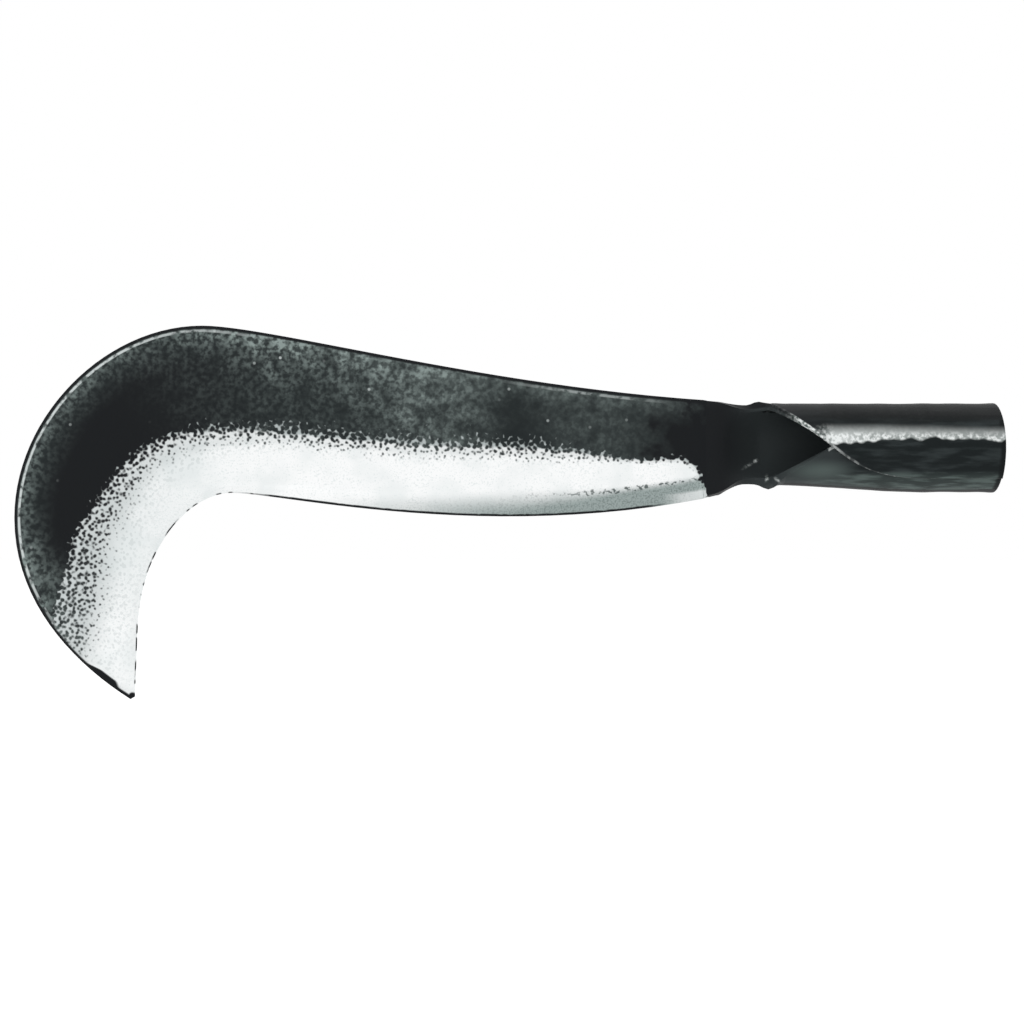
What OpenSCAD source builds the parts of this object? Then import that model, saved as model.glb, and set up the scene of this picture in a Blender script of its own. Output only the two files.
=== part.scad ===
// Socketed billhook head: an iron blade with a beaked hook, a hard steel
// cutting edge welded into a cleft along its inner side, and a socket that
// is rolled from a fan of plate, lapped at the front and scarf-welded to
// the neck.
//
// X runs along the haft axis and leaves the socket mouth, Z points to the
// spine and Y to the back of the tool. The origin is the centre of the
// mouth. All sizes are in millimetres.

/* [Socket] */
// Bore at the mouth, a clearance fit on the haft
bore_d = 27; // [22:0.5:34]
// Depth of the bored stretch
bore_len = 25; // [18:1:32]
// Wall of the rolled socket
wall_t = 2.5; // [2:0.1:3.5]
// From the mouth to the point where the two wings meet
tube_len = 60; // [50:1:75]
// From that point back to the roots of the wings
throat_len = 20; // [14:1:30]
// From the wing roots back to the blade weld
neck_len = 20; // [16:1:32]
// Outside diameter at the wing roots
throat_d = 29.3; // [26:0.1:34]

/* [Lap seam] */
// How far the wings meet below the front line
meet_angle = 4; // [0:1:12]
// How far the upper wing laps past the front line
lap_angle = 42; // [30:1:55]
// How far the lower wing is tucked past the front line
tuck_angle = 12; // [6:1:20]
// From the mouth to where the lower wing is fully tucked
tuck_len = 35; // [26:1:42]
// Width of the lower wing that is drawn thin
scarf_angle = 42; // [25:1:50]
// Lip of the lower wing
tuck_t = 1.2; // [0.8:0.1:1.8]
// Lip of the upper wing
lap_t = 0.7; // [0.5:0.1:1.2]
// Gap left in the seam
seam_gap = 0.3; // [0.1:0.05:0.5]

/* [Neck] */
// Height of the neck top above the haft axis at the weld
weld_top = 17; // [14:0.1:20]
// Depth of the neck bottom below the haft axis at the weld
weld_bot = 17; // [13:0.1:19]
// From the weld to the waist
waist_dist = 12; // [6:0.5:14]
// Depth of the waist below the haft axis
waist_bot = 13.2; // [10:0.1:14]
// Upset of the upper wing root
root_top = 1.2; // [0:0.1:1.8]
// Upset of the lower wing root
root_bot = 1.6; // [0:0.1:2]
// Slope of the scarf weld, run for one of thickness
scarf_run = 0.8; // [0.2:0.1:1]
// How far the blade lies behind the haft axis
blade_set = 4; // [0:0.5:8]

/* [Spine] */
// From the weld to the heel
heel_dist = 3; // [2.5:0.1:6]
// Height of the spine above the heel
heel_top = 17.3; // [14:0.1:20]
// From the heel to the crown
crown_dist = 180; // [150:1:220]
// Height of the crown
crown_top = 44; // [36:0.5:52]
// From the crown to the nose
nose_dist = 67.5; // [56:0.5:78]
// Depth of the nose
nose_drop = 25; // [15:0.5:32]
// From the nose back to the tip
tip_dist = 41.6; // [36:0.1:46]
// Depth of the tip
tip_drop = 90.2; // [82:0.1:105]

/* [Spine curves] */
// Pull of the curve at the heel
back_pull = 80; // [60:1:95]
// Rise along that pull
back_rise = 5.4; // [2:0.1:9]
// Pull of the curve at the crown, towards the neck
crown_pull = 24; // [16:1:40]
// Pull of the curve at the crown, towards the nose
head_pull = 35; // [28:1:40]
// Pull of the curve at the nose, upwards
nose_rise = 36; // [28:1:42]
// Pull of the curve at the nose, downwards
nose_fall = 29.5; // [20:0.5:35]
// Pull of the curve at the tip, along the blade
tip_run = 22; // [15:0.5:26]
// Pull of the curve at the tip, across the blade
tip_rise = 13.7; // [10:0.1:18]

/* [Inner edge] */
// Depth of the heel
heel_drop = 18.1; // [14:0.1:20]
// Depth of the pull that gives the belly
belly_drop = 33.6; // [24:0.1:38]
// From the heel to the hook's throat
hook_dist = 169.5; // [145:0.5:180]
// Depth of the hook's throat
hook_drop = 16; // [10:0.1:22]
// Pull of the curve at the throat, towards the heel
hook_run = 17; // [12:1:30]
// Pull of the curve at the throat, towards the beak
hook_turn = 16; // [10:0.5:22]
// Width of the beak, from the nose to its straight inner side
beak_w = 44.1; // [40:0.1:48]
// Depth at which the inner side runs straight
beak_drop = 63.9; // [54:0.1:70]
// Pull of the curve where the inner side runs straight
beak_pull = 27.4; // [18:0.1:34]
// Width of the blunt point
tip_w = 1.7; // [0.8:0.1:2.5]

/* [Blade section] */
// Thickness of the plate at the neck
plate_t = 5.4; // [4:0.1:7]
// Thickness at the crown
crown_t = 5; // [3.5:0.1:6.5]
// Thickness at the nose
nose_t = 4; // [2.8:0.1:5.5]
// Thickness of the point
tip_t = 1.4; // [1:0.1:2.4]
// Share of the thickness that is lost between spine and bevel
face_taper = 0.1; // [0:0.01:0.25]
// Width of the chamfer along the spine
chamfer_w = 2.4; // [1:0.1:4]
// Depth of that chamfer
chamfer_d = 0.8; // [0.3:0.1:1.2]
// Width of the small chamfer on plain plate edges
break_w = 1; // [0.5:0.1:1.6]
// Depth of the small chamfer
break_d = 0.6; // [0.3:0.1:0.9]

/* [Bevel] */
// Bevel behind its run-out at the heel
bevel_heel = 14; // [9:0.5:18]
// Bevel between the heel and the belly
bevel_flank = 24.5; // [18:0.5:30]
// Bevel at the belly
bevel_belly = 26; // [20:0.5:32]
// Bevel at the hook's throat
bevel_hook = 23; // [18:0.5:30]
// Bevel round the hook
bevel_turn = 28; // [22:0.5:34]
// Bevel level with the nose
bevel_nose = 33; // [26:0.5:38]
// Length of the run-out at the heel
run_out = 9; // [5:0.5:12]
// Honed strip at the heel
hone_heel = 8; // [4:0.5:10]
// Honed strip in the hook
hone_hook = 2.5; // [1.5:0.1:5]
// Thickness where the honed strip starts
hone_t = 2; // [1.2:0.1:2.6]
// Thickness of the edge itself
edge_t = 0.4; // [0.3:0.05:0.8]

/* [Steel edge] */
// Width of the steel that shows on the bevel
bit_w = 12; // [8:0.5:15]
// Depth of the cleft that holds the steel
cleft_d = 6; // [3:0.5:8]

/* [Hidden] */

// Stations of the lofts
back_steps = 24;
head_steps = 28;
beak_steps = 18;
run_steps = 8;
neck_steps = 14;
throat_steps = 16;
tube_steps = 8;
bore_steps = 3;
wing_steps = 24;

// Places along the haft axis
root_x = -(tube_len + throat_len);
weld_x = root_x - neck_len;
waist_x = weld_x + waist_dist;
heel_x = weld_x - heel_dist;
crown_x = heel_x - crown_dist;
nose_x = crown_x - nose_dist;
tip_x = nose_x + tip_dist;
hook_x = heel_x - hook_dist;
beak_x = nose_x + beak_w;

// Curves of the spine, from the heel to the tip
tip = [tip_x, -tip_drop];
spine_back = [[heel_x, heel_top], [heel_x - back_pull, heel_top + back_rise],
              [crown_x + crown_pull, crown_top], [crown_x, crown_top]];
spine_head = [[crown_x, crown_top], [crown_x - head_pull, crown_top],
              [nose_x, nose_rise - nose_drop], [nose_x, -nose_drop]];
spine_beak = [[nose_x, -nose_drop], [nose_x, -nose_drop - nose_fall],
              tip + [-tip_run, tip_rise], tip];

// Curves of the inner edge, from the heel to the tip
point_lean = 30;
beak_start = [beak_x, -beak_drop];
beak_end = tip + tip_w * [cos(point_lean), sin(point_lean)];
beak_way = (beak_end - beak_start) / norm(beak_end - beak_start);
edge_back = [[heel_x, -heel_drop], [heel_x - back_pull, -belly_drop],
             [hook_x + hook_run, -hook_drop], [hook_x, -hook_drop]];
edge_head = [[hook_x, -hook_drop], [hook_x - hook_turn, -hook_drop],
             beak_start - beak_pull * beak_way, beak_start];
edge_beak = [for (u = [0 : 3]) beak_start + (beak_end - beak_start) * u / 3];

SPINE = [spine_back, spine_head, spine_beak];
EDGE = [edge_back, edge_head, edge_beak];

// Blade stations run from 0 at the heel, by 1 at the crown and 2 at the
// nose, to 3 at the tip. The weld is the station before the heel.
WELD = -1;
run_end = run_out / (3 * back_pull);
BLADE_STATIONS = concat(
    [WELD],
    [for (i = [0 : run_steps]) run_end * (1 - cos(90 * i / run_steps))],
    [for (i = [1 : back_steps]) mix(run_end, 1, i / back_steps)],
    [for (i = [1 : head_steps]) 1 + i / head_steps],
    [for (i = [1 : beak_steps]) 2 + i / beak_steps]);

// Values along the blade, keyed by station. Past the nose the bevel spreads
// until it takes in the whole beak.
flank_at = 0.3;
belly_at = 0.65;
turn_at = 1.5;
spread_at = 2.6;
hone_at = 0.3;
taper_at = 0.25;
THICKNESS = [[0, plate_t], [1, crown_t], [2, nose_t], [3, tip_t]];
BEVEL = [[0, bevel_heel], [flank_at, bevel_flank], [belly_at, bevel_belly],
         [1, bevel_hook], [turn_at, bevel_turn], [2, bevel_nose], [spread_at, beak_w]];
HONE = [[hone_at, hone_heel], [1, hone_hook]];

// Greatest shares of the local width, which rule near the point
bevel_share = 0.85;
chamfer_share = 0.1;
bit_share = 0.6;
hone_share = 0.3;
cleft_share = 0.2;

// Rolled socket
tube_r = bore_d / 2 + wall_t;
throat_bot = throat_d - tube_r;
throat_r = (throat_d - wall_t) / 2;
// Metal that the bore takes out of the rolled wall
ream = 0.25;
// Angles over which the upper wing lifts clear of the tube
lift_start = 100;
lift_end = 190;
lap_rise = seam_gap + lap_t;
// Rounding of the wing edges, and its greatest share of their thickness
lip_break = 0.35;
trim_share = 0.3;
// Places and half lengths of the upsets, and the share of a wing they take
root_half_top = 3.5;
root_half_bot = 4.5;
root_place_bot = 0.5;
root_share = 0.3;
// Length over which the slope of the scarf dies out
scarf_fade = 6;
// How late the neck takes up its bend
neck_power = 1.5;
TOP = [[weld_x, weld_top], [waist_x, tube_r]];
BOTTOM = [[weld_x, weld_bot], [waist_x, waist_bot], [root_x, throat_bot],
          [-bore_len, tube_r]];
PLATE = [[weld_x, plate_t], [root_x, wall_t]];
SOCKET_STATIONS = concat(
    [for (i = [0 : neck_steps]) mix(weld_x, root_x, i / neck_steps)],
    [for (i = [1 : throat_steps]) mix(root_x, -tube_len, i / throat_steps)],
    [for (i = [1 : tube_steps]) mix(-tube_len, -bore_len, i / tube_steps)],
    [for (i = [1 : bore_steps]) mix(-bore_len, 0, i / bore_steps)]);

// Between a and b by the share u
function mix(a, b, u) = a + (b - a) * u;
function share(u) = max(0, min(1, u));

// Smooth step from 0 to 1
function ease(u) = let (q = share(u)) q * q * (3 - 2 * q);

// Value at x, eased between keys of [place, value]
function along(keys, x, i = 0) =
    x <= keys[i][0] || i == len(keys) - 1 ? keys[i][1]
    : x >= keys[i + 1][0] ? along(keys, x, i + 1)
    : mix(keys[i][1], keys[i + 1][1],
          ease((x - keys[i][0]) / (keys[i + 1][0] - keys[i][0])));

// Point of a cubic curve
function cubic(p, t) = let (s = 1 - t)
    s * s * s * p[0] + 3 * s * s * t * p[1] + 3 * s * t * t * p[2] + t * t * t * p[3];

// Point at station g of a chain of three curves
function chain(curves, g) = let (i = min(2, floor(g))) cubic(curves[i], g - i);

// Ends of the rib at station g
function rib_edge(g) = g == WELD ? [weld_x, -weld_bot] : chain(EDGE, g);
function rib_spine(g) = g == WELD ? [weld_x, weld_top] : chain(SPINE, g);

// Growth of the bevel from nothing at the heel, as a quarter ellipse
function run(g) = let (q = share((heel_x - rib_edge(g)[0]) / run_out))
    g <= 0 ? 0 : g >= 1 ? 1 : sqrt(1 - pow(1 - q, 2));

// Point of the rib at station g, v from the edge and y off the mid plane
function on_rib(g, v, y) =
    let (e = rib_edge(g), s = rib_spine(g), p = e + (s - e) * v / norm(s - e))
    [p[0] + (g == WELD ? scarf_run * y : 0), blade_set + y, p[1]];

// Sizes of the section at station g, as [width, half thickness at the spine,
// bevel, half thickness there, hone, half thickness there, half edge, bit,
// half thickness there, cleft]
function section(g) =
    let (
        w = norm(rib_spine(g) - rib_edge(g)),
        r = run(g),
        plate = along(THICKNESS, max(0, g)) / 2,
        bevel = max(break_w, r * min(along(BEVEL, g), bevel_share * w)),
        at_bevel = plate * (1 - face_taper * ease(g / taper_at)),
        hone = r * min(along(HONE, g), hone_share * bevel),
        at_hone = mix(at_bevel - break_d, min(hone_t, at_bevel) / 2, r),
        at_edge = mix(at_bevel - break_d, min(edge_t, at_hone) / 2, r),
        bit = r * min(bit_w, bit_share * bevel),
        at_bit = mix(at_hone, at_bevel, (bit - hone) / (bevel - hone)))
    [w, plate, bevel, at_bevel, hone, at_hone, at_edge, bit, at_bit,
     r * min(cleft_d, cleft_share * w)];

// Ring of the iron body: up the front cheek, over the spine, down the back
// cheek and into the cleft
function body_ring(g) =
    let (
        s = section(g),
        chamfer = min(chamfer_w, chamfer_share * s[0]),
        crest = s[1] - chamfer_d * chamfer / chamfer_w,
        cheek = [[s[7], s[8]], [s[2], s[3]], [s[0] - chamfer, s[1]], [s[0], crest]])
    concat(
        [for (p = cheek) on_rib(g, p[0], p[1])],
        [for (i = [3 : -1 : 0]) on_rib(g, cheek[i][0], -cheek[i][1])],
        [on_rib(g, s[7] + s[9], 0)]);

// Ring of the steel: down the front of the bevel, across the edge, up the
// back and into the cleft
function bit_ring(g) =
    let (s = section(g), cheek = [[s[7], s[8]], [s[4], s[5]], [0, s[6]]])
    concat(
        [for (p = cheek) on_rib(g, p[0], p[1])],
        [on_rib(g, 0, 0)],
        [for (i = [2 : -1 : 0]) on_rib(g, cheek[i][0], -cheek[i][1])],
        [on_rib(g, s[7] + s[9], 0)]);

// Height of a wing's edge at x, as a share of the radius: straight from the
// root to the point where the wings meet, then levelling out
function wing_rise(x, end_x, end_angle, point_angle) =
    let (
        point = sin(point_angle),
        end = sin(end_angle),
        rest = end_x + tube_len,
        u = share((x - root_x) / throat_len),
        w = share((x + tube_len) / rest),
        power = (1 - point) / throat_len * rest / (point - end))
    x < -tube_len ? mix(1, point, u) : mix(point, end, 1 - pow(1 - w, power));

// Angle from the back of the tube to a wing's edge at x
function wing_angle(x, end_x, end_angle, point_angle) =
    let (neck = share((x - weld_x) / (root_x - weld_x)))
    x <= root_x ? 90 * pow(neck, neck_power)
    : 90 + acos(wing_rise(x, end_x, end_angle, point_angle));
function upper_angle(x) = wing_angle(x, -bore_len, 180 + lap_angle, 180 + meet_angle);
function lower_angle(x) = wing_angle(x, -tuck_len, 180 + tuck_angle, 180 - meet_angle);

// Share of the lap that is formed at x
function lapped(x) = ease((x - root_x) / throat_len);

// Wall of the lower wing, drawn thin towards its lip. The angle is measured
// up from the front line.
function tuck_wall(angle, t) =
    mix(t, tuck_t, share((angle - tuck_angle + scarf_angle) / scarf_angle));

// Offsets of the outer and inner faces from the middle of the wall, at the
// angle a from the back. The upper wing lifts over the lower one.
function upper_faces(x, a, t) =
    let (
        lift_top = 180 - tuck_angle,
        over = a > lift_top ? 1 : ease((a - lift_start) / (lift_top - lift_start)),
        under = tuck_wall(min(tuck_angle, 180 - a), t) + seam_gap)
    [t / 2 + lapped(x) * lap_rise * ease((a - lift_start) / (lift_end - lift_start)),
     -t / 2 + lapped(x) * mix(-ream, under, over)];
function lower_faces(x, a, t) =
    [mix(t, tuck_wall(a - 180, t), lapped(x)) - t / 2, -t / 2 - lapped(x) * ream];

// Upset of the plate edge where a wing starts
function upset(x, place, half, size) =
    size * pow(max(0, 1 - pow((x - place) / half, 2)), 2);

// One wing at x, as [outer, inner] points from the back line to its edge.
// The side is 1 for the upper wing and -1 for the lower one.
function wing(x, side) =
    let (
        top = along(TOP, x),
        bottom = along(BOTTOM, x),
        mid_z = (top - bottom) / 2,
        t = along(PLATE, x),
        neck = share((x - weld_x) / (root_x - weld_x)),
        angle = side > 0 ? upper_angle(x) : lower_angle(x),
        bend = min(90, angle),
        reach = (top + bottom) / 2 - t / 2 * sin(bend),
        radius = angle > 0 ? reach / sin(bend) : 0,
        back_y = x < root_x ? mix(blade_set, throat_r, ease(neck)) : radius,
        long = angle > 0 ? radius * angle * PI / 180 : reach,
        edge_w = mix(side > 0 ? chamfer_w : break_w, lip_break, ease(neck)),
        edge_d = mix(side > 0 ? chamfer_d : break_d, lip_break, ease(neck)),
        bump = side > 0 ? upset(x, root_x - root_half_top, root_half_top, root_top)
            : upset(x, root_x + root_place_bot, root_half_bot, root_bot),
        shares = concat(
            [for (i = [0 : wing_steps]) (1 - edge_w / long) * i / wing_steps], [1]))
    [for (face = [0, 1])
        [for (f = shares)
            let (
                a = f * angle,
                faces = side > 0 ? upper_faces(x, a, t) : lower_faces(x, a, t),
                thick = faces[0] - faces[1],
                trim = f == 1 ? min(edge_d, trim_share * thick) : 0,
                off = face == 0
                    ? faces[0] - trim + bump * ease((f - 1 + root_share) / root_share)
                    : faces[1] + trim,
                y = angle > 0 ? back_y - radius + (radius + off) * cos(a) : back_y + off,
                z = angle > 0 ? (radius + off) * sin(a) : f * reach,
                shear = scarf_run * (1 - ease((x - weld_x) / scarf_fade)))
            [x + shear * (y - blade_set), y, mid_z + side * z]]];

// Outer and inner rows of the socket at x, from the lower lip to the upper
function reversed(list) = [for (i = [len(list) - 1 : -1 : 0]) list[i]];
function socket_ring(x) =
    let (
        lower = wing(x, -1),
        upper = wing(x, 1),
        rows = [for (face = [0, 1])
            concat(reversed(lower[face]), [for (i = [1 : wing_steps + 1]) upper[face][i]])])
    concat(rows[0], reversed(rows[1]));

// Triangle with its corners in the other order
function turned(f, turn) = turn ? [f[0], f[2], f[1]] : f;

// Whether a triangle has an area
least_area = 1e-6;
function has_area(points, f) =
    norm(cross(points[f[1]] - points[f[0]], points[f[2]] - points[f[0]])) > least_area;

// Two triangles between the corners a and b of one ring and those of the
// next, n places on, split along the shorter diagonal
function quad(points, a, b, n) =
    norm(points[a] - points[b + n]) <= norm(points[b] - points[a + n])
        ? [[a, b, b + n], [a, b + n, a + n]]
        : [[a, b, a + n], [b, b + n, a + n]];

// Solid through closed rings of equal count, with the given end triangles
module loft(rings, caps, turn = false) {
    n = len(rings[0]);
    last = (len(rings) - 1) * n;
    points = [for (ring = rings) each ring];
    sides = [
        for (i = [0 : len(rings) - 2])
            for (j = [0 : n - 1])
                each quad(points, i * n + j, i * n + (j + 1) % n, n)];
    start = [for (f = caps) [f[0], f[2], f[1]]];
    end = [for (f = caps) [for (k = f) last + k]];
    polyhedron(points, [
        for (f = concat(start, sides, end))
            if (has_area(points, f)) turned(f, turn)]);
}

// Iron body of the blade, with the cleft for the steel along its inner side
module blade_body() {
    color("#2b2e2f")
        loft([for (g = BLADE_STATIONS) body_ring(g)],
             [[0, 1, 8], [8, 1, 6], [8, 6, 7], [1, 2, 5], [1, 5, 6], [2, 3, 4], [2, 4, 5]]);
}

// Hard steel welded into the cleft, from the heel to the point
module cutting_edge() {
    color("#d9dcdb")
        loft([for (g = BLADE_STATIONS) if (g >= 0) bit_ring(g)],
             [[1, 2, 3], [1, 3, 5], [3, 4, 5], [0, 1, 5], [0, 5, 6], [0, 6, 7]], turn = true);
}

// Dished neck and rolled socket, bored for the haft
module socket() {
    count = 2 * wing_steps + 3;
    color("#26292b")
        difference() {
            loft([for (x = SOCKET_STATIONS) socket_ring(x)],
                 [for (j = [0 : count - 2])
                     let (k = 2 * count - 1 - j)
                     each [[j, j + 1, k - 1], [j, k - 1, k]]]);
            translate([-bore_len, 0, 0])
                rotate([0, 90, 0])
                    cylinder(d = bore_d, h = bore_len + wall_t, $fn = 96);
        }
}

blade_body();
cutting_edge();
socket();
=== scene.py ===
"""Looks of a socketed billhook head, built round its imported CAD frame.

Each CAD node is copied, cut into small cells, beaten into a forged surface and
dressed with iron or steel. The blade's own lines, taken from the sizes of the
CAD source, say where the scale ends and the ground bevel starts. The sizes of
pieces and finishes are in millimetres, and those of the studio in metres.
"""

from __future__ import annotations

import logging
import math
from dataclasses import dataclass, field
from enum import Enum
from functools import cached_property, partial
from typing import Callable, Sequence

import bpy
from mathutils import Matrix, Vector
from mathutils.kdtree import KDTree

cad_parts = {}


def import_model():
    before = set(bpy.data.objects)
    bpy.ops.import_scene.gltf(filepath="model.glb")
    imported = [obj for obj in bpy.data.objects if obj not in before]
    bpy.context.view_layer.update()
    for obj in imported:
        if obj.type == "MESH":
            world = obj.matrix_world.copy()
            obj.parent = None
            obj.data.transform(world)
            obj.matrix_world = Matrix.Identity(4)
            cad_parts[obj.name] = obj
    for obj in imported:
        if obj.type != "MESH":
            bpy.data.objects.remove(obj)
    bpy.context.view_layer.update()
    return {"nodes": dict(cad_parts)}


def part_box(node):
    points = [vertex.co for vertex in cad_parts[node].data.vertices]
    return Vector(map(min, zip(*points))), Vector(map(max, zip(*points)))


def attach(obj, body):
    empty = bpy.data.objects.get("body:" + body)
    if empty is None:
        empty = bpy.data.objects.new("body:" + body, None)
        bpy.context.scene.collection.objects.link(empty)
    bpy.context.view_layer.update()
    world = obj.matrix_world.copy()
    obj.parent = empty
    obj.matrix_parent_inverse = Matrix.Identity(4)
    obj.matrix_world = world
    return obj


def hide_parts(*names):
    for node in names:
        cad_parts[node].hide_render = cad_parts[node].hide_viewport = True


LOG = logging.getLogger("billhook")
MM = 0.001
SOOT = "#1c1e20"
WHITE = (1.0, 1.0, 1.0, 1.0)

# Where the neck is welded to the blade.
WELD_X = -100.0

Tree = bpy.types.NodeTree
Socket = bpy.types.NodeSocket
Place = tuple[float, float, float]

# A span is where a change starts and ends. A ramp adds what it gives there.
Span = tuple[float, float]
Ramp = tuple[float, float, float, float]
RISE = (0.0, 1.0)
FALL = (1.0, 0.0)

# Settings of nodes.
ADD = {"operation": "ADD"}
SUBTRACT = {"operation": "SUBTRACT"}
MULTIPLY = {"operation": "MULTIPLY"}
DIVIDE = {"operation": "DIVIDE"}
POWER = {"operation": "POWER"}
ABSOLUTE = {"operation": "ABSOLUTE"}
MAXIMUM = {"operation": "MAXIMUM"}
MINIMUM = {"operation": "MINIMUM"}
LENGTH = {"operation": "LENGTH"}
SMOOTH = {"interpolation_type": "SMOOTHSTEP"}
FREE = {"clamp": False}
LINE_NOISE = {"noise_dimensions": "1D"}
FLAT_NOISE = {"noise_dimensions": "2D"}
FLAT_CELLS = {"voronoi_dimensions": "2D"}

# Setting, inputs and output of a node that mixes colours.
COLOURS = {"data_type": "RGBA"}
FACTOR, BASE, COAT = 0, 6, 7
MIXED = 2


class Slot(Enum):
    """Material slots of the record."""

    SCALED_IRON = "scaled_iron"
    GROUND_STEEL = "ground_steel"
    BLACK_IRON = "black_iron"


class Mark(Enum):
    """Numbers that are kept on the points of a piece, most of them in millimetres."""

    GROUND = "ground_mm"
    EDGE = "edge_mm"
    SPINE = "spine_mm"
    ALONG = "along_mm"
    LIP = "lip_mm"
    FRONT = "front_share"
    UNDER = "under_share"


def linear(hex_colour: str) -> tuple[float, float, float, float]:
    """Turns an sRGB hex colour into linear light.

    Args:
        hex_colour: Colour such as "#2b2e2f".

    Returns:
        Red, green, blue and alpha.
    """
    parts = [int(hex_colour[i : i + 2], 16) / 255 for i in (1, 3, 5)]
    lin = [c / 12.92 if c <= 0.04045 else ((c + 0.055) / 1.055) ** 2.4 for c in parts]
    return (lin[0], lin[1], lin[2], 1.0)


def per_mm(size: float) -> float:
    """Pattern scale, in repeats per metre, for a feature of this many millimetres."""
    return 1.0 / (size * MM)


def ease(u: float) -> float:
    """Smooth step from 0 to 1."""
    q = max(0.0, min(1.0, u))
    return q * q * (3 - 2 * q)


def add_node(
    tree: Tree,
    kind: str,
    settings: dict | None = None,
    inputs: dict | Sequence | None = None,
    out: int | str = 0,
) -> Socket | None:
    """Adds a shader node with its settings and links.

    Args:
        tree: Node tree to add to.
        kind: Node type without its ShaderNode prefix.
        settings: Properties of the node.
        inputs: Values or sockets, by input name, by number or in order.
        out: Output to hand back.

    Returns:
        The chosen output, or None for a node without outputs.
    """
    node = tree.nodes.new("ShaderNode" + kind)
    for key, value in (settings or {}).items():
        setattr(node, key, value)
    pairs = inputs.items() if isinstance(inputs, dict) else enumerate(inputs or ())
    for key, value in pairs:
        if isinstance(value, Socket):
            tree.links.new(value, node.inputs[key])
        else:
            node.inputs[key].default_value = value
    return node.outputs[out] if len(node.outputs) else None


def new_tree(name: str) -> tuple[bpy.types.Material, Tree]:
    """Makes an empty node material.

    Args:
        name: Name of the material.

    Returns:
        The material and its node tree.
    """
    material = bpy.data.materials.new(name)
    material.use_nodes = True
    material.node_tree.nodes.clear()
    return material, material.node_tree


def select_only(obj: bpy.types.Object) -> None:
    """Selects one object and makes it active.

    Args:
        obj: Object to select.
    """
    bpy.ops.object.select_all(action="DESELECT")
    obj.select_set(True)
    bpy.context.view_layer.objects.active = obj


@dataclass
class BladeLines:
    """Lines of the blade in its own plane, as in the CAD source.

    Stations run from 0 at the heel, by 1 at the crown and 2 at the nose, to 3
    at the tip.
    """

    spine: tuple = (
        ((-103.0, 17.3), (-183.0, 22.7), (-259.0, 44.0), (-283.0, 44.0)),
        ((-283.0, 44.0), (-318.0, 44.0), (-350.5, 11.0), (-350.5, -25.0)),
        ((-350.5, -25.0), (-350.5, -54.5), (-330.9, -76.5), (-308.9, -90.2)),
    )
    edge: tuple = (
        ((-103.0, -18.1), (-183.0, -33.6), (-255.5, -16.0), (-272.5, -16.0)),
        ((-272.5, -16.0), (-288.5, -16.0), (-305.3, -36.5), (-306.4, -63.9)),
        ((-306.4, -63.9), (-306.7, -72.4), (-307.1, -80.9), (-307.4, -89.4)),
    )
    bevel_keys: tuple[Span, ...] = (
        (0.0, 16.2),
        (0.3, 25.3),
        (0.65, 24.8),
        (1.0, 22.6),
        (1.5, 27.6),
        (2.0, 33.0),
    )
    run_out: float = 11.0
    heel_share: float = 0.45
    scale_end: float = 2.52
    tip: float = 3.0
    steps: int = 900

    def point(self, curves: tuple, g: float) -> Vector:
        """Point of a chain of cubic curves at a station.

        Args:
            curves: Curves of four points.
            g: Station.

        Returns:
            The point as X and Z, with no depth.
        """
        i = min(len(curves) - 1, int(g))
        t = g - i
        s = 1 - t
        weights = (s * s * s, 3 * s * s * t, 3 * s * t * t, t * t * t)
        x = sum(w * p[0] for w, p in zip(weights, curves[i]))
        z = sum(w * p[1] for w, p in zip(weights, curves[i]))
        return Vector((x, 0.0, z))

    def ground_width(self, g: float, width: float) -> float:
        """Width of the ground metal at a station.

        Args:
            g: Station.
            width: Width of the blade there, which the ground metal may pass; not used.

        Returns:
            Width in millimetres.
        """
        keys = self.bevel_keys
        size = keys[-1][1]
        for (a, low), (b, high) in zip(keys, keys[1:]):
            if g <= b:
                size = low + (high - low) * ease((g - a) / (b - a))
                break
        heel_x = self.edge[0][0][0]
        q = max(0.0, min(1.0, (heel_x - self.point(self.edge, g).x) / self.run_out))
        run = 1.0 if g >= 1 else math.sqrt(1 - (1 - q) ** 2)
        return (self.heel_share + (1 - self.heel_share) * run) * size

    def sample(self, reach: Callable[[float, float], float], end: float) -> list[Vector]:
        """Points along the blade at the given distance from the edge.

        Args:
            reach: Distance from the edge, from the station and the blade's width there.
            end: Last station.

        Returns:
            Points in the plane of the blade.
        """
        points = []
        for i in range(self.steps + 1):
            g = end * i / self.steps
            low = self.point(self.edge, g)
            rib = self.point(self.spine, g) - low
            points.append(low + rib.normalized() * reach(g, rib.length))
        return points

    def scale_line(self) -> list[Vector]:
        """Line where the scale ends, which leaves the blade through the spine of the beak."""
        return self.sample(self.ground_width, self.scale_end)

    def edge_line(self) -> list[Vector]:
        """Cutting edge."""
        return self.sample(lambda g, width: 0.0, self.tip)

    def spine_line(self) -> list[Vector]:
        """Outline of the spine."""
        return self.sample(lambda g, width: width, self.tip)


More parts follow.
